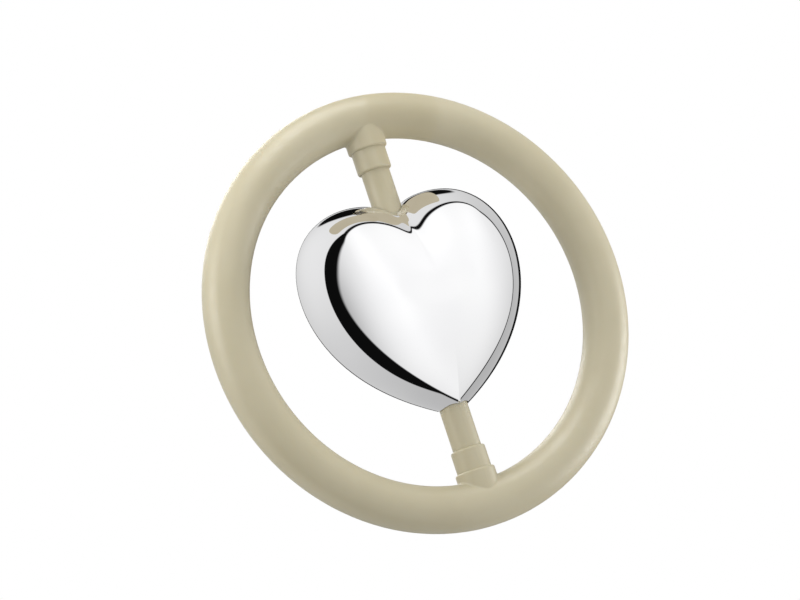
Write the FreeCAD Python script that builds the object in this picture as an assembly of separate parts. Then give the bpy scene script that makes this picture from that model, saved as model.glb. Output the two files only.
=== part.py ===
import FreeCAD, Part
import os
from math import exp, hypot, log1p, pi, sin, sqrt
from FreeCAD import Vector

# Baby rattle: an ivory plastic ring with a hollow mirror-bright metal heart that turns on two
# axle stubs across its middle, and loose steel pellets inside the heart.
# Millimetres. The origin is the ring's centre. +Z is the ring's axis and the heart's front,
# +Y runs along the axle towards the notch of the heart, and X goes across the ring.

# Ring: a hollow round tube, moulded as a front and a back half
ring_radius = 34.1           # centre line of the tube
tube_radius = 3.9
tube_wall = 1.6
rib_width = 0.5              # locating rib of the back half
rib_height = 0.5
rib_clearance = 0.06
boss_gap_half_width = 5.0    # the inner ribs stop this far from the axle

# Stepped bosses on the inside of the ring, where the axle stubs are held
base_collar_radius = 3.375
base_collar_face = 28.4      # distance of its face from the ring's centre
middle_collar_radius = 2.93
middle_collar_face = 24.6
collar_edge_radius = 0.35
boss_root_fillet = 0.4

# Axle stubs
shaft_radius = 2.43          # the length that shows between boss and heart
spigot_radius = 1.8          # held in the boss
spigot_clearance = 0.03
head_radius = 2.15           # keeps the stub in the ring
head_thickness = 1.4
head_seat = 31.0             # distance of the head's seat from the ring's centre
journal_radius = 1.5         # turns in the bearing tube
journal_length = 6.0
upper_shoulder = 13.0        # Y where the upper stub steps down to its journal
lower_shoulder = -15.0
journal_chamfer = 0.3

# Heart: right-hand outline at the seam, as the poles of one Bezier curve from tip to notch
heart_outline_poles = (
    (0.0, -18.75),
    (9.9, -13.7),
    (22.2, -7.2),
    (28.9, 16.0),
    (13.6, 23.8),
    (0.0, 17.6),
)
notch_dip = 0.87             # the outline is pulled in this much further at the notch
notch_dip_width = 2.5
heart_centre_y = 1.7         # the contours shrink towards this point
inner_contour_x = 19.1       # half axes of the ellipse that the inner contours tend to
inner_contour_y = 18.1
outline_hold = 2.17          # how fast a contour takes the outline's corners near the rim
heart_half_depth = 10.5
face_power = 2.83            # how square the dome's shoulder is
crown_height = 9.95          # the dome's top is flattened to this, so that the rattle lies still
crown_ease = 0.06            # over which the flattening sets in
tip_fall_share = 0.407       # the dome thins towards the tip
tip_fall_start = 8.5
tip_fall_length = 27.3
valley_share = 0.437         # hollow that runs from the notch into the face
valley_half_width = 12.0
valley_power = 1.5           # how its sides rise, from a crease on the axle line
valley_bottom = 0.5          # half width over which the crease is rounded
valley_start = 1.5           # Y where it begins
valley_ease = 0.12           # how gently it begins
shell_thickness = 0.6
solder_gap = 0.03            # between inner pieces and the shells
axle_hole_radius = 2.65      # where a stub enters the heart
outline_steps = 28           # interpolation grid of each quarter of the heart
rim_steps = 18

# Inside the heart
seam_band_half_width = 1.0
seam_band_thickness = 0.35
bearing_bore_radius = 1.56
bearing_outer_radius = 2.1
end_float = 0.15             # free play between each shoulder and the bearing tube
bulkhead_thickness = 0.8
bulkhead_half_width = 6.0
upper_bulkhead_y = 10.8
lower_bulkhead_y = -13.2
pellet_radius = 1.5
pellet_places = ((-8.6, 8.6), (-12.6, 2.6), (-8.0, -5.2), (8.8, 8.0), (12.2, 1.4), (7.6, -6.0))
pellet_gap = 0.2             # left round each pellet at the ends of its travel
pellet_tolerance = 0.01

far = 60.0                   # beyond every part of the rattle
past = 1.0                   # how far a cutting tool runs past the face that it opens
samples = 100                # points read along the outline to find its width
touching = 1e-3              # lengths under this count as nothing
y_axis = Vector(0, 1, 0)
z_axis = Vector(0, 0, 1)


def rod(radius, start, end):
    """A round bar on the axle line, between two values of Y."""
    low, high = min(start, end), max(start, end)
    return Part.makeCylinder(radius, high - low, Vector(0, low, 0), y_axis)


def half_space(side):
    """A block that fills the front (+1) or back (-1) of the ring's middle plane."""
    corner = Vector(-far, -far, 0 if side > 0 else -far)
    return Part.makeBox(2 * far, 2 * far, far, corner)


def collar(radius, face, side):
    """A collar from the ring's tube to its face, with the edge of the face rounded."""
    bar = rod(radius, side * face, side * ring_radius)
    rims = [e for e in bar.Edges if abs(abs(e.CenterOfMass.y) - face) < collar_edge_radius
            and e.Closed]
    return bar.makeFillet(collar_edge_radius, rims)


def ring_body():
    """The whole ring with its two bosses, before it is hollowed and split."""
    body = Part.makeTorus(ring_radius, tube_radius)
    for side in (1, -1):
        body = body.fuse(collar(base_collar_radius, base_collar_face, side))
    roots = [e for e in body.Edges if is_boss_root(e)]
    body = body.makeFillet(boss_root_fillet, roots)
    for side in (1, -1):
        body = body.fuse(collar(middle_collar_radius, middle_collar_face, side))
    return body


def is_boss_root(edge):
    """True for an edge where a base collar runs into the tube."""
    box = edge.BoundBox
    beyond_face = min(abs(box.YMin), abs(box.YMax)) > base_collar_face + collar_edge_radius
    return beyond_face and base_collar_radius < box.XLength < 4 * base_collar_radius


def annulus(middle, width, height):
    """A flat ring standing on the middle plane, for the locating rib and its groove."""
    outer = Part.makeCylinder(middle + width / 2, height)
    return outer.cut(Part.makeCylinder(middle - width / 2, height))


def locating_rib(width, height):
    """Ribs in the outer and inner walls of the ring; the inner one stops beside the bosses."""
    wall_middle = tube_radius - tube_wall / 2
    outer_rib = annulus(ring_radius + wall_middle, width, height)
    inner_rib = annulus(ring_radius - wall_middle, width, height)
    gap = Part.makeBox(2 * boss_gap_half_width, 2 * far, height,
                       Vector(-boss_gap_half_width, -far, 0))
    return outer_rib.fuse(inner_rib.cut(gap))


def ring_halves():
    """Front and back halves of the ring, with the seats of the axle stubs cut in both."""
    body = ring_body().cut(Part.makeTorus(ring_radius, tube_radius - tube_wall))
    for side in (1, -1):
        mouth = side * (middle_collar_face - past)
        body = body.cut(rod(spigot_radius + spigot_clearance, mouth, side * ring_radius))
        body = body.cut(rod(head_radius + spigot_clearance, side * head_seat, side * ring_radius))
    groove = locating_rib(rib_width + 2 * rib_clearance, rib_height + rib_clearance)
    front = body.common(half_space(1)).cut(groove)
    back = body.common(half_space(-1)).fuse(locating_rib(rib_width, rib_height))
    return front, back


def axle_stub(shoulder):
    """Head, spigot, visible shaft and journal, turned on one line."""
    side = 1 if shoulder > 0 else -1
    head = rod(head_radius, side * head_seat, side * (head_seat + head_thickness))
    spigot = rod(spigot_radius, side * middle_collar_face, side * head_seat)
    shaft = rod(shaft_radius, shoulder, side * middle_collar_face)
    journal_end = shoulder - side * journal_length
    journal = rod(journal_radius, journal_end, shoulder)
    tip = [e for e in journal.Edges if e.Closed and abs(e.CenterOfMass.y - journal_end) < touching]
    journal = journal.makeChamfer(journal_chamfer, tip)
    return head.fuse([spigot, shaft, journal])


def outline(t):
    """Point of the heart's right-hand outline, from the tip (t = 0) to the notch (t = 1)."""
    curve = Part.BezierCurve()
    curve.setPoles([Vector(x, y, 0) for x, y in heart_outline_poles])
    p = curve.value(t)
    if p.y > 0:
        p.y -= notch_dip * exp(-(p.x / notch_dip_width) ** 2)
    return p


def contour_point(rim, s):
    """Point of a contour on the ray to a rim point. s is 1 at the rim and 0 at the centre.

    The contour is the outline near the rim and tends to an ellipse, with no corners, inside.
    """
    dx, dy = rim.x, rim.y - heart_centre_y
    reach = hypot(dx, dy)
    ellipse = reach / hypot(dx / inner_contour_x, dy / inner_contour_y)
    hold = s ** outline_hold
    length = s * (hold * reach + (1 - hold) * ellipse) / reach
    return dx * length, heart_centre_y + dy * length


def surface_point(rim, s):
    """Point of the heart's front over a contour point.

    The height is a dome, sqrt(1 - s^face_power), thinned towards the tip and by the valley
    that runs in from the notch, and its crown is flattened.
    """
    x, y = contour_point(rim, s)
    fall = min(1.0, max(0.0, (tip_fall_start - y) / tip_fall_length))
    dome = heart_half_depth * sqrt(max(0.0, 1 - s ** face_power))
    height = dome * (1 - tip_fall_share * fall ** 2) * (1 - valley_depth(x, y))
    height -= crown_ease * log1p(exp((height - crown_height) / crown_ease))
    return Vector(x, y, height)


def valley_depth(x, y):
    """Share of the height that the valley takes away: a V across the axle line."""
    along = max(0.0, (y - valley_start) / (heart_outline_poles[-1][1] - valley_start))
    along = (1 + valley_ease) * along ** 2 / (along + valley_ease)
    across = max(0.0, 1 - (hypot(x, valley_bottom) - valley_bottom) / valley_half_width)
    return valley_share * along * across ** valley_power


def heart_quarter(scale_xy, scale_z, side):
    """Smooth surface over one lobe of the front or back, as a grid of points interpolated."""
    grid = []
    for i in range(outline_steps + 1):
        rim = outline(i / outline_steps)
        row = []
        for j in range(rim_steps + 1):
            p = surface_point(rim, sin(pi / 2 * j / rim_steps))
            row.append(Vector(p.x * scale_xy, p.y * scale_xy, p.z * scale_z * side))
        grid.append(row)
    surface = Part.BSplineSurface()
    surface.interpolate(grid)
    return surface.toShape()


def heart_solid(inset, side):
    """Front (+1) or back (-1) half of the heart as a solid, its walls moved in by inset."""
    half_width = max(outline(i / samples).x for i in range(samples))
    lobe = heart_quarter(1 - inset / half_width, 1 - inset / heart_half_depth, side)
    other_lobe = lobe.mirror(Vector(0, 0, 0), Vector(1, 0, 0))
    rims = [e for face in (lobe, other_lobe) for e in face.Edges
            if e.BoundBox.ZLength < touching < e.BoundBox.XLength]
    base = Part.Face(Part.Wire(rims))
    shell = Part.makeShell([lobe, other_lobe, base])
    shell.sewShape()
    solid = Part.makeSolid(shell)
    if solid.Volume < 0:
        solid.reverse()
    return solid


def axle_holes():
    """The space that the two stubs take where they enter the heart."""
    return rod(axle_hole_radius, upper_shoulder, far).fuse(rod(axle_hole_radius, lower_shoulder, -far))


def heart_shell(side):
    """One pressed half of the heart, with half of each axle hole in its rim."""
    return heart_solid(0.0, side).cut(heart_solid(shell_thickness, side)).cut(axle_holes())


def heart_inside(inset):
    """The space inside the heart, as one solid."""
    return heart_solid(inset, 1).fuse(heart_solid(inset, -1))


def seam_band(side):
    """Strip soldered inside the rim of one lobe, which lines the two shells up."""
    slab = Part.makeBox(far, 2 * far, 2 * seam_band_half_width,
                        Vector(0 if side > 0 else -far, -far, -seam_band_half_width))
    outer = heart_inside(shell_thickness + solder_gap).common(slab)
    inner = heart_inside(shell_thickness + seam_band_thickness)
    return outer.cut(inner).cut(axle_holes())


def bulkhead(y):
    """Plate across the heart that ties the bearing tube to both shells."""
    slab = Part.makeBox(2 * bulkhead_half_width, bulkhead_thickness, 2 * far,
                        Vector(-bulkhead_half_width, y - bulkhead_thickness / 2, -far))
    plate = heart_inside(shell_thickness + solder_gap).common(slab)
    return plate.cut(rod(bearing_outer_radius + solder_gap, -far, far))


def bearing_tube():
    """Tube along the axle that the journals turn in."""
    start, end = lower_shoulder + end_float, upper_shoulder - end_float
    return rod(bearing_outer_radius, start, end).cut(rod(bearing_bore_radius, start, end))


def pellet_height(x, y):
    """Height of a pellet's centre when it lies in the dome with pellet_gap to spare."""
    dome = heart_solid(shell_thickness, 1)
    walls = [face for face in dome.Faces if face.BoundBox.ZLength > touching]
    low, high = 0.0, heart_half_depth
    while high - low > pellet_tolerance:
        middle = (low + high) / 2
        centre = Part.Vertex(x, y, middle)
        room = min(wall.distToShape(centre)[0] for wall in walls)
        if room > pellet_radius + pellet_gap:
            low = middle
        else:
            high = middle
    return low


def pellet(x, y):
    """Steel ball at the bottom of its travel, just clear of the back shell."""
    return Part.makeSphere(pellet_radius, Vector(x, y, -pellet_height(x, y)))


def main():
    front, back = ring_halves()
    parts = {
        "ring_front_shell": front,
        "ring_back_shell": back,
        "upper_axle_stub": axle_stub(upper_shoulder),
        "lower_axle_stub": axle_stub(lower_shoulder),
        "heart_front_shell": heart_shell(1),
        "heart_back_shell": heart_shell(-1),
        "left_seam_band": seam_band(-1),
        "right_seam_band": seam_band(1),
        "bearing_tube": bearing_tube(),
        "upper_bulkhead": bulkhead(upper_bulkhead_y),
        "lower_bulkhead": bulkhead(lower_bulkhead_y),
    }
    for number, (x, y) in enumerate(pellet_places, 1):
        parts[f"pellet_{number}"] = pellet(x, y)
    os.makedirs("parts", exist_ok=True)
    for name, shape in parts.items():
        shape.exportStep(f"parts/{name}.step")
        print(name, "valid" if shape.isValid() else "INVALID", len(shape.Solids),
              round(shape.Volume, 1), shape.BoundBox)


main()
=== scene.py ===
import bmesh
import bpy
import math
import numpy as np
from mathutils import Matrix, Vector


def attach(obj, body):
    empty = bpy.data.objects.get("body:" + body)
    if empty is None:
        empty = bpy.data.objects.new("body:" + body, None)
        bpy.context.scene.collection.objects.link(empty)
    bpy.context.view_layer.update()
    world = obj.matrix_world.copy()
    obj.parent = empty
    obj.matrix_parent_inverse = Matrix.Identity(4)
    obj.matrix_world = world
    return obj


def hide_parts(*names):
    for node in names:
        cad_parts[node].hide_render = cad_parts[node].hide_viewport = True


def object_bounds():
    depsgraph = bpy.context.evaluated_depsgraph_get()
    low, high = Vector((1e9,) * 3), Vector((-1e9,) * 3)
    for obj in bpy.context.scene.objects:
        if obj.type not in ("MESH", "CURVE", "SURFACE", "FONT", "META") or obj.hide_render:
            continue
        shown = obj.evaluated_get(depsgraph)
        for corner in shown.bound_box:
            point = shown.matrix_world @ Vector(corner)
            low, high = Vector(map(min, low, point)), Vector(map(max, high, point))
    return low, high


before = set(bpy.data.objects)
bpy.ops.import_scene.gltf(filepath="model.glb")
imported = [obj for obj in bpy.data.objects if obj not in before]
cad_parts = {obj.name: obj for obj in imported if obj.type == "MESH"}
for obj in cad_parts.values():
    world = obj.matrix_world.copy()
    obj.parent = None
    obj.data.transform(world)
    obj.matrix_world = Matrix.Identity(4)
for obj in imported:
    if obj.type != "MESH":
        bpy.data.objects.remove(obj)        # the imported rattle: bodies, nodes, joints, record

# Ring rattle: an ivory ring carries a mirror-bright hollow heart that turns on two axle stubs.
# The frame is in metres, the ring lies flat round the origin, +Y is the axle towards the notch.

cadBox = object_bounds()
outerRadius = cadBox[1].x        # ring centre to its outside
mm = 0.001
floorReach = 40               # half width of the table top, in outer radii


# ---- camera

cameraSetup = dict(
    lens=119.95,
    distance=11.67,              # all lengths here in outer radii of the ring
    aim=(-0.0819, 0.0620, 0.0),
    turn=-159.97,                # degrees round +Z from +X
    tilt=63.01,                  # degrees above the ring's plane
    roll=-53.64,                 # degrees round the line of sight
)


def makeCamera(setup):
    turn, tilt = math.radians(setup["turn"]), math.radians(setup["tilt"])
    back = Vector((math.cos(tilt) * math.cos(turn), math.cos(tilt) * math.sin(turn), math.sin(tilt)))
    level = Vector((0, 0, 1)).cross(back).normalized()
    upright = back.cross(level)
    roll = math.radians(setup["roll"])
    up = upright * math.cos(roll) + level * math.sin(roll)
    right = up.cross(back)
    place = (Vector(setup["aim"]) + back * setup["distance"]) * outerRadius
    data = bpy.data.cameras.new("camera")
    data.lens = setup["lens"]
    data.clip_start = 0.01
    camera = bpy.data.objects.new("camera", data)
    camera.matrix_world = Matrix.Translation(place) @ Matrix((right, up, back)).transposed().to_4x4()
    bpy.context.scene.collection.objects.link(camera)
    bpy.context.scene.camera = camera


makeCamera(cameraSetup)
print("camera set")


# ---- node helpers

def addNode(tree, kind, inputs=None, **settings):
    node = tree.nodes.new("ShaderNode" + kind)
    for key, value in settings.items():
        setattr(node, key, value)
    for key, value in (inputs or {}).items():
        if isinstance(value, bpy.types.NodeSocket):
            tree.links.new(value, node.inputs[key])
        else:
            node.inputs[key].default_value = value
    return node


def mathNode(tree, operation, a, b=0.0):
    return addNode(tree, "Math", {0: a, 1: b}, operation=operation).outputs[0]


def ramp(tree, value, low, high, lowOut=0.0, highOut=1.0):
    # smooth step from lowOut to highOut as value goes from low to high
    node = addNode(tree, "MapRange", {0: value, 1: low, 2: high, 3: lowOut, 4: highOut},
                   interpolation_type="SMOOTHSTEP")
    return node.outputs[0]


# ---- studio: a soft overhead light, a pale table below and the dark room between them

studio = dict(
    # a field is z + slope.x * x + slope.y * y + bend.x * x^2 + bend.y * y^2 of a direction
    capSlope=(0.228, -0.04),
    capBend=(0.751, 0.613),
    capEdge=0.899,                   # the light is above this edge
    capLevel=0.81,                   # brightness, again with its slope, bend and twist
    capRise=(0.31, 0.05, 0.25),
    capFade=(-0.35, 0.075, 0.0),
    capTwist=0.12,
    veilFrom=(0.12, 0.40),           # a thin shade over the light, between these X
    veilTo=(0.42, 0.75),
    veilDepth=0.09,
    tableSlope=(-0.379, -0.069),
    tableBend=(-0.303, 0.0),
    tableTwist=0.297,                # times x * y
    tableEdge=0.325,                 # the table is below this edge
    tableGap=0.035,                  # dark line left between light and table
    tableLevel=0.66,
    tableRise=(-0.12, 0.155, 0.0),
    hollows=(                        # dark places: direction and cosine of their reach
        ((0.53, 0.05, -0.83), 0.90),
        ((0.31, 0.80, -0.51), 0.955),
    ),
    roomLevel=0.004,
    edgeWidth=0.02,
    tint=(1.0, 1.0, 1.0, 1.0),
    fill=0.47,                       # even light that the plastic gets from the room
)


def makeWorld(look):
    world = bpy.data.worlds.new("studio")
    bpy.context.scene.world = world
    world.use_nodes = True
    tree = world.node_tree
    tree.nodes.clear()
    way = addNode(tree, "TexCoord").outputs["Generated"]
    square = addNode(tree, "VectorMath", {0: way, 1: way}, operation="MULTIPLY").outputs[0]
    half = look["edgeWidth"] / 2

    def along(axis, vector=way):
        node = addNode(tree, "VectorMath", {0: vector, 1: axis}, operation="DOT_PRODUCT")
        return node.outputs["Value"]

    def field(slope, bend):
        return mathNode(tree, "ADD", along((*slope, 1.0)), along((*bend, 0.0), square))

    capField = field(look["capSlope"], look["capBend"])
    cap = ramp(tree, capField, look["capEdge"] - half, look["capEdge"] + half)
    x, y = along((1, 0, 0)), along((0, 1, 0))
    xy = mathNode(tree, "MULTIPLY", x, y)
    capGlow = mathNode(tree, "ADD", along(look["capRise"]), along(look["capFade"], square))
    capGlow = mathNode(tree, "ADD", capGlow, mathNode(tree, "MULTIPLY", xy, look["capTwist"]))
    capGlow = mathNode(tree, "ADD", capGlow, look["capLevel"])
    veil = mathNode(tree, "MULTIPLY", ramp(tree, x, *look["veilFrom"]),
                    ramp(tree, x, *reversed(look["veilTo"])))
    capGlow = mathNode(tree, "SUBTRACT", capGlow, mathNode(tree, "MULTIPLY", veil, look["veilDepth"]))
    tableField = mathNode(tree, "ADD", field(look["tableSlope"], look["tableBend"]),
                          mathNode(tree, "MULTIPLY", xy, look["tableTwist"]))
    table = ramp(tree, tableField, look["tableEdge"] + half, look["tableEdge"] - half)
    gapEdge = look["capEdge"] - look["tableGap"]
    table = mathNode(tree, "MULTIPLY", table, ramp(tree, capField, gapEdge, gapEdge - 2 * half))
    for hollowWay, reach in look["hollows"]:
        near = along(tuple(Vector(hollowWay).normalized()))
        table = mathNode(tree, "MULTIPLY", table, ramp(tree, near, reach + half, reach - half))
    tableGlow = mathNode(tree, "ADD", along(look["tableRise"]), look["tableLevel"])
    light = mathNode(tree, "ADD", mathNode(tree, "MULTIPLY", cap, capGlow),
                     mathNode(tree, "MULTIPLY", table, tableGlow))
    light = mathNode(tree, "ADD", light, look["roomLevel"])
    sky = addNode(tree, "Background", {"Color": look["tint"], "Strength": light})
    fill = addNode(tree, "Background", {"Color": look["tint"], "Strength": look["fill"]})
    soft = addNode(tree, "LightPath").outputs["Is Diffuse Ray"]
    both = addNode(tree, "MixShader", {0: soft, 1: sky.outputs[0], 2: fill.outputs[0]})
    addNode(tree, "OutputWorld", {"Surface": both.outputs[0]})


def makeFloor():
    # wide pale table top, straight under the lowest point of the heart
    size, height = floorReach * outerRadius, cadBox[0].z
    mesh = bpy.data.meshes.new("tableTop")
    corners = [(x * size, y * size, height) for x, y in ((-1, -1), (1, -1), (1, 1), (-1, 1))]
    mesh.from_pydata(corners, [], [(0, 1, 2, 3)])
    top = bpy.data.objects.new("tableTop", mesh)
    bpy.context.scene.collection.objects.link(top)
    paper = bpy.data.materials.new("whiteSweep")
    paper.use_nodes = True
    tree = paper.node_tree
    tree.nodes.clear()
    glow = addNode(tree, "Emission", {"Color": (1, 1, 1, 1), "Strength": 1.0})
    addNode(tree, "OutputMaterial", {"Surface": glow.outputs[0]})
    mesh.materials.append(paper)
    # the sweep is only what the eye sees behind the rattle; its light is part of the studio's world
    top.visible_glossy = top.visible_diffuse = top.visible_shadow = False


panels = dict(                       # direction towards it, size, power, all in outer radii
    leftPanel=dict(way=(-0.85, 0.38, 0.12), size=6.0, power=220.0),
    rightPanel=dict(way=(0.88, -0.30, 0.14), size=6.0, power=285.0),
    topPanel=dict(way=(0.10, 0.95, 0.36), size=6.0, power=260.0),
    backPanel=dict(way=(0.02, 0.60, -0.78), size=5.0, power=160.0),
)
panelDistance = 8.0


def makePanels(setup):
    # soft panels that light the plastic only; the mirror heart sees the world's light and table
    lit = bpy.data.collections.new("plasticPieces")
    for name, panel in setup.items():
        way = Vector(panel["way"]).normalized()
        data = bpy.data.lights.new(name, "AREA")
        data.shape = "DISK"
        data.size = panel["size"] * outerRadius
        data.energy = panel["power"] * outerRadius ** 2
        lamp = bpy.data.objects.new(name, data)
        lamp.matrix_world = (Matrix.Translation(way * panelDistance * outerRadius)
                             @ way.to_track_quat("Z", "Y").to_matrix().to_4x4())
        bpy.context.scene.collection.objects.link(lamp)
        lamp.light_linking.receiver_collection = lit
    return lit


makeWorld(studio)
makeFloor()
plasticPieces = makePanels(panels)
bpy.context.scene.view_settings.view_transform = "Standard"
print("studio set")


# ---- materials

def newMaterial(name):
    material = bpy.data.materials.new(name)
    material.use_nodes = True
    material.node_tree.nodes.clear()
    return material, material.node_tree


def objectNoise(tree, scale, detail=3.0, roughness=0.5):
    place = addNode(tree, "TexCoord").outputs["Object"]
    return addNode(tree, "TexNoise", {"Vector": place, "Scale": scale, "Detail": detail,
                                      "Roughness": roughness}).outputs["Fac"]


def mixColour(tree, share, first, second):
    node = addNode(tree, "Mix", {0: share, 6: first, 7: second}, data_type="RGBA")
    return node.outputs[2]


ivoryLook = dict(
    light=(0.648, 0.586, 0.405, 1.0),
    deep=(0.612, 0.550, 0.370, 1.0),
    cloudScale=90.0,
    sheenScale=420.0,
    grainScale=3500.0,
    roughness=0.42,
    roughnessDrift=0.05,
    grainDepth=0.02 * mm,
    scatter=1.2 * mm,
)

def ivoryPlastic(look):
    # satin moulded plastic: faint clouding in the colour, uneven sheen, very fine tool texture
    material, tree = newMaterial("ivoryPlastic")
    cloud = ramp(tree, objectNoise(tree, look["cloudScale"]), 0.3, 0.7)
    colour = mixColour(tree, cloud, look["deep"], look["light"])
    sheen = ramp(tree, objectNoise(tree, look["sheenScale"], 4.0), 0.3, 0.7,
                 look["roughness"] - look["roughnessDrift"], look["roughness"] + look["roughnessDrift"])
    grain = objectNoise(tree, look["grainScale"], 2.0)
    bump = addNode(tree, "Bump", {"Strength": 0.12, "Distance": look["grainDepth"], "Height": grain})
    shader = addNode(tree, "BsdfPrincipled", {
        "Base Color": colour, "Roughness": sheen, "Normal": bump.outputs[0], "IOR": 1.5,
        "Specular IOR Level": 0.9, "Subsurface Weight": 0.15, "Subsurface Radius": (1.0, 0.7, 0.4),
        "Subsurface Scale": look["scatter"]})
    addNode(tree, "OutputMaterial", {"Surface": shader.outputs[0]})
    return material


silverLook = dict(
    bright=(0.93, 0.93, 0.935, 1.0),
    dull=(0.90, 0.90, 0.91, 1.0),
    driftScale=60.0,
    hazeScale=250.0,
    roughness=0.02,
    haze=0.025,
)


def polishedSilver(look):
    # mirror polish: colour and sheen drift a little, as after buffing
    material, tree = newMaterial("polishedSilver")
    drift = ramp(tree, objectNoise(tree, look["driftScale"], 2.0), 0.35, 0.65)
    colour = mixColour(tree, drift, look["dull"], look["bright"])
    haze = ramp(tree, objectNoise(tree, look["hazeScale"], 4.0), 0.4, 0.8,
                look["roughness"], look["roughness"] + look["haze"])
    shader = addNode(tree, "BsdfPrincipled", {"Base Color": colour, "Metallic": 1.0, "Roughness": haze})
    addNode(tree, "OutputMaterial", {"Surface": shader.outputs[0]})
    return material


brassLook = dict(
    light=(0.80, 0.62, 0.33, 1),
    dark=(0.62, 0.45, 0.20, 1),
    roughness=0.3,
    stretch=(1.0, 0.1, 1.0),         # lines run along the axle
)

steelLook = dict(
    light=(0.70, 0.70, 0.71, 1),
    dark=(0.48, 0.48, 0.50, 1),
    roughness=0.28,
    stretch=(1.0, 1.0, 1.0),
)


def drawnMetal(name, look):
    # metal with fine lines left by drawing or tumbling
    material, tree = newMaterial(name)
    place = addNode(tree, "TexCoord").outputs["Object"]
    lines = addNode(tree, "Mapping", {"Vector": place, "Scale": look["stretch"]}).outputs[0]
    noise = addNode(tree, "TexNoise", {"Vector": lines, "Scale": 900.0, "Detail": 4.0}).outputs["Fac"]
    share = ramp(tree, noise, 0.3, 0.7)
    colour = mixColour(tree, share, look["dark"], look["light"])
    sheen = ramp(tree, noise, 0.3, 0.7, look["roughness"] + 0.08, look["roughness"] - 0.05)
    bump = addNode(tree, "Bump", {"Strength": 0.1, "Distance": 0.01 * mm, "Height": noise})
    shader = addNode(tree, "BsdfPrincipled", {"Base Color": colour, "Metallic": 1.0, "Roughness": sheen,
                                              "Normal": bump.outputs[0]})
    addNode(tree, "OutputMaterial", {"Surface": shader.outputs[0]})
    return material


ivory = ivoryPlastic(ivoryLook)
silver = polishedSilver(silverLook)
brass = drawnMetal("solderedBrass", brassLook)
steel = drawnMetal("tumbledSteel", steelLook)
print("materials made")


# ---- heart

heartShape = dict(
    outline=((0, -18.75), (9.9, -13.7), (22.2, -7.2), (28.9, 16.0), (13.6, 23.8), (0, 17.6)),
    notchDip=0.87,
    notchWidth=2.5,
    centreY=1.7,
    innerX=19.1,
    innerY=18.1,
    cornerHold=2.17,
    halfDepth=10.5,
    facePower=2.83,
    crown=9.95,
    crownEase=0.06,
    tipFall=0.407,
    tipStart=8.5,
    tipLength=27.3,
    valley=0.437,
    valleyWidth=12.0,
    valleyPower=1.5,
    valleyRound=0.5,
    valleyStart=1.5,
    valleyEase=0.12,
    wall=0.6,
    hole=2.65,
    columns=120,
    rows=96,
    crowding=0.4,                    # how much the columns crowd towards tip and notch
    mergeDistance=0.002 * mm,
)
halvings = 40


def outlineAt(shape, t):
    # Bezier curve: sum over k of C(n,k) t^k (1-t)^(n-k) pole_k, from the tip (0) to the notch (1),
    # with its upper half pulled down by notchDip * exp(-(x / notchWidth)^2)
    poles = np.array(shape["outline"], float)
    last = len(poles) - 1
    share = [math.comb(last, k) * t ** k * (1 - t) ** (last - k) for k in range(last + 1)]
    curve = np.stack(share, -1) @ poles
    x, y = curve[..., 0], curve[..., 1]
    dip = shape["notchDip"] * np.exp(-(x / shape["notchWidth"]) ** 2) * (y > 0)
    return np.stack([x, y - dip], -1)


def lobeSurface(shape, t, s, inset):
    # Point = centre + s * length(s) * (outline - centre), where length goes from an ellipse's at the
    # centre to the outline's at the rim as s^cornerHold. Height = halfDepth * sqrt(1 - s^facePower),
    # less the fall to the tip, (tipStart - y)^2, and the valley from the notch: along y it grows
    # evenly from valleyStart, g = 1.12 g0^2 / (g0 + 0.12), and across it is
    # (1 - |x| / valleyWidth)^valleyPower with its bottom rounded. The crown is flattened by
    # crownEase * ln(1 + exp((z - crown) / crownEase)).
    rim = outlineAt(shape, t)
    dx, dy = rim[..., 0], rim[..., 1] - shape["centreY"]
    reach = np.hypot(dx, dy)
    ellipse = reach / np.hypot(dx / shape["innerX"], dy / shape["innerY"])
    hold = s ** shape["cornerHold"]
    length = s * (hold * reach + (1 - hold) * ellipse) / reach
    x, y = dx * length, shape["centreY"] + dy * length
    fall = np.clip((shape["tipStart"] - y) / shape["tipLength"], 0, 1)
    notch, ease, bottom = shape["outline"][-1][1], shape["valleyEase"], shape["valleyRound"]
    grow = np.clip((y - shape["valleyStart"]) / (notch - shape["valleyStart"]), 0, None)
    grow = (1 + ease) * grow ** 2 / (grow + ease)
    across = np.clip(1 - (np.hypot(x, bottom) - bottom) / shape["valleyWidth"], 0, None)
    valley = shape["valley"] * grow * across ** shape["valleyPower"]
    z = shape["halfDepth"] * np.sqrt(np.clip(1 - s ** shape["facePower"], 0, None))
    z = z * (1 - shape["tipFall"] * fall ** 2) * (1 - valley)
    z = z - shape["crownEase"] * np.logaddexp(0, (z - shape["crown"]) / shape["crownEase"])
    flat = 1 - inset / max(outlineAt(shape, np.linspace(0, 1, 101))[:, 0])
    return np.stack([x * flat, y * flat, z * (1 - inset / shape["halfDepth"])], -1)


def holeEdge(shape, s, inset, end):
    # where each contour leaves the axle hole: x^2 + z^2 = hole^2, found by halving along t
    inside, outside = np.full_like(s, end), np.full_like(s, 0.5)
    for step in range(halvings):
        middle = (inside + outside) / 2
        p = lobeSurface(shape, middle, s, inset)
        within = p[:, 0] ** 2 + p[:, 2] ** 2 < shape["hole"] ** 2
        inside = np.where(within, middle, inside)
        outside = np.where(within, outside, middle)
    ends = lobeSurface(shape, np.full_like(s, end), s, inset)
    clear = ends[:, 2] >= shape["hole"]
    return np.where(clear, end, outside)


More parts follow.
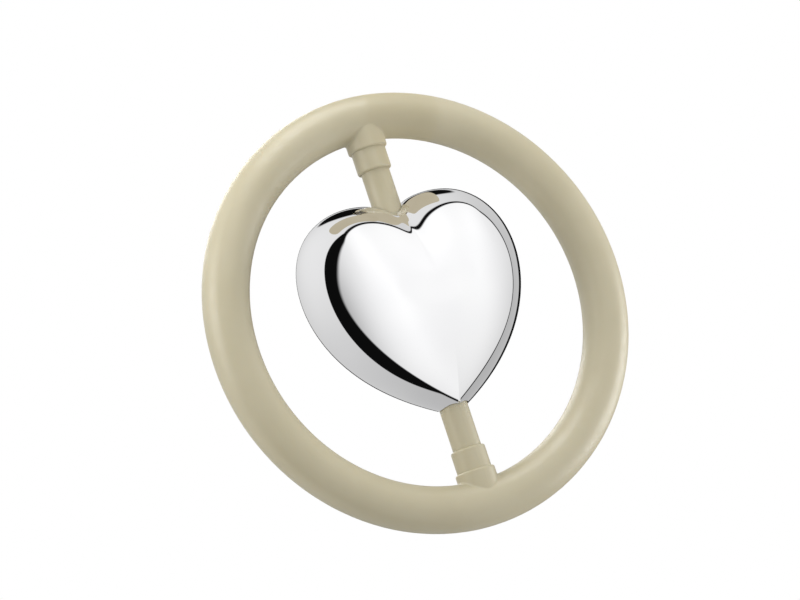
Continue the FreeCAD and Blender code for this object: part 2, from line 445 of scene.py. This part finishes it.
def heartHalf(name, shape, side):
    # rows run from the centre to the rim with s = sin, columns from the tip's hole to the notch's
    s = np.sin(np.linspace(0, math.pi / 2, shape["rows"] + 1))
    w = np.linspace(0, 1, shape["columns"] + 1)
    crowding = shape["crowding"]
    w = (1 - crowding) * w + crowding * (0.5 - 0.5 * np.cos(math.pi * w))
    walls, opened = [], np.zeros((2, len(s)), bool)
    for inset in (0.0, shape["wall"]):
        low, high = holeEdge(shape, s, inset, 0.0), holeEdge(shape, s, inset, 1.0)
        t = low[:, None] + (high - low)[:, None] * w
        walls.append(lobeSurface(shape, t, np.broadcast_to(s[:, None], t.shape), inset))
        opened |= np.array([low > 0, high < 1])
    right = np.array(walls)                                   # wall, row, column, xyz
    points = np.array([right, right * (-1, 1, 1)]) * (1, 1, side) * mm
    index = np.arange(points[..., 0].size).reshape(points.shape[:-1])  # lobe, wall, row, column
    quads = [np.stack([index[..., :-1, :-1], index[..., 1:, :-1], index[..., 1:, 1:],
                       index[..., :-1, 1:]], -1).reshape(-1, 4)]
    rim = index[:, :, -1, :]                                  # lobe, wall, column
    strip = np.stack([rim[:, 0, :-1], rim[:, 0, 1:], rim[:, 1, 1:], rim[:, 1, :-1]], -1)
    quads.append(strip.reshape(-1, 4))
    for column, isOpen in ((0, opened[0]), (-1, opened[1])):
        edge = index[:, :, :, column]                         # lobe, wall, row
        strip = np.stack([edge[:, 0, :-1], edge[:, 0, 1:], edge[:, 1, 1:], edge[:, 1, :-1]], -1)
        quads.append(strip[:, isOpen[1:]].reshape(-1, 4))
    return finishMesh(name, points.reshape(-1, 3), np.concatenate(quads), 35)


def finishMesh(name, points, quads, sharpAngle):
    mesh = bpy.data.meshes.new(name)
    mesh.from_pydata(points, [], quads.tolist())
    work = bmesh.new()
    work.from_mesh(mesh)
    bmesh.ops.remove_doubles(work, verts=work.verts, dist=heartShape["mergeDistance"])
    bmesh.ops.dissolve_degenerate(work, edges=work.edges, dist=heartShape["mergeDistance"] / 2)
    bmesh.ops.recalc_face_normals(work, faces=work.faces)
    work.to_mesh(mesh)
    print(name, len(work.faces), "faces, open edges:", sum(not e.is_manifold for e in work.edges))
    work.free()
    mesh.shade_smooth()
    mesh.set_sharp_from_angle(angle=math.radians(sharpAngle))
    piece = bpy.data.objects.new(name, mesh)
    bpy.context.scene.collection.objects.link(piece)
    return piece


for name, node, side in (("heartFront", "heart_front_shell", 1), ("heartBack", "heart_back_shell", -1)):
    half = heartHalf(name, heartShape, side)
    half.data.materials.append(silver)
    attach(half, "heart")
    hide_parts(node)
print("heart made")


# ---- CAD pieces that keep their shape

def dress(material, *nodes):
    for name in nodes:
        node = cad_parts[name]
        node.data.materials.clear()
        node.data.materials.append(material)


dress(ivory, "ring_front_shell", "ring_back_shell", "upper_axle_stub", "lower_axle_stub")
dress(brass, "left_seam_band", "right_seam_band", "bearing_tube", "upper_bulkhead", "lower_bulkhead")
dress(steel, *[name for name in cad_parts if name.startswith("pellet")])


# ---- ring in the heart's mirror

# the heart shows an ivory arc on each lobe and no more of the ring, so two glowing ivory arcs, a
# painted reflection of the lit ring, take the ring's place where only reflections see them; they don't
# lie where the ring is and don't move with it
ringMirror = dict(
    left=dict(middle=29.3, height=5.9, shift=-6.0, tube=1.67, start=89, end=120),
    right=dict(middle=36.0, height=0.6, shift=-4.4, tube=7.0, start=70, end=89),
    along=48,
    around=32,
    squareness=16,                   # power that closes the ends of an arc
    cloudScale=120.0,
    light=(0.56, 0.51, 0.39, 1.0),
    deep=(0.46, 0.40, 0.28, 1.0),
)


def ringStretch(name, arc, look, reflectionGlow):
    # torus arc: its middle circle lies level, u runs from -1 to 1 along it and the
    # tube's radius is tube * sqrt(1 - u^squareness)
    u = np.sin(np.linspace(-math.pi / 2, math.pi / 2, look["along"]))
    middle, half = (arc["start"] + arc["end"]) / 2, (arc["end"] - arc["start"]) / 2
    angle = np.radians(middle + u * half)[:, None]
    turn = np.linspace(0, 2 * math.pi, look["around"], endpoint=False)
    tube = arc["tube"] * np.sqrt(1 - u ** look["squareness"])[:, None]
    reach = arc["middle"] + tube * np.cos(turn)
    points = np.stack([reach * np.cos(angle), reach * np.sin(angle) + arc["shift"],
                       tube * np.sin(turn) + arc["height"] + 0 * angle], -1) * mm
    index = np.arange(points[..., 0].size).reshape(points.shape[:2])
    beside = np.roll(index, -1, 1)
    quads = np.stack([index[:-1], index[1:], beside[1:], beside[:-1]], -1).reshape(-1, 4)
    stretch = finishMesh(name, points.reshape(-1, 3), quads, 60)
    stretch.data.materials.append(reflectionGlow)
    stretch.visible_camera = stretch.visible_diffuse = stretch.visible_shadow = False


def ringReflectionGlow(look):
    reflectionGlow, tree = newMaterial("ringReflectionGlow")
    tone = mixColour(tree, objectNoise(tree, look["cloudScale"]), look["deep"], look["light"])
    # the arcs glow in fixed ivory tones that no lamp lights: a painted reflection of the lit ring
    glow = addNode(tree, "Emission", {"Color": tone, "Strength": 1.0})
    addNode(tree, "OutputMaterial", {"Surface": glow.outputs[0]})
    return reflectionGlow


reflectionGlow = ringReflectionGlow(ringMirror)
ringStretch("leftStretch", ringMirror["left"], ringMirror, reflectionGlow)
ringStretch("rightStretch", ringMirror["right"], ringMirror, reflectionGlow)
for name in ("ring_front_shell", "ring_back_shell"):
    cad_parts[name].visible_glossy = False
for name in ("ring_front_shell", "ring_back_shell", "upper_axle_stub", "lower_axle_stub"):
    plasticPieces.objects.link(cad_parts[name])
print("CAD pieces dressed")
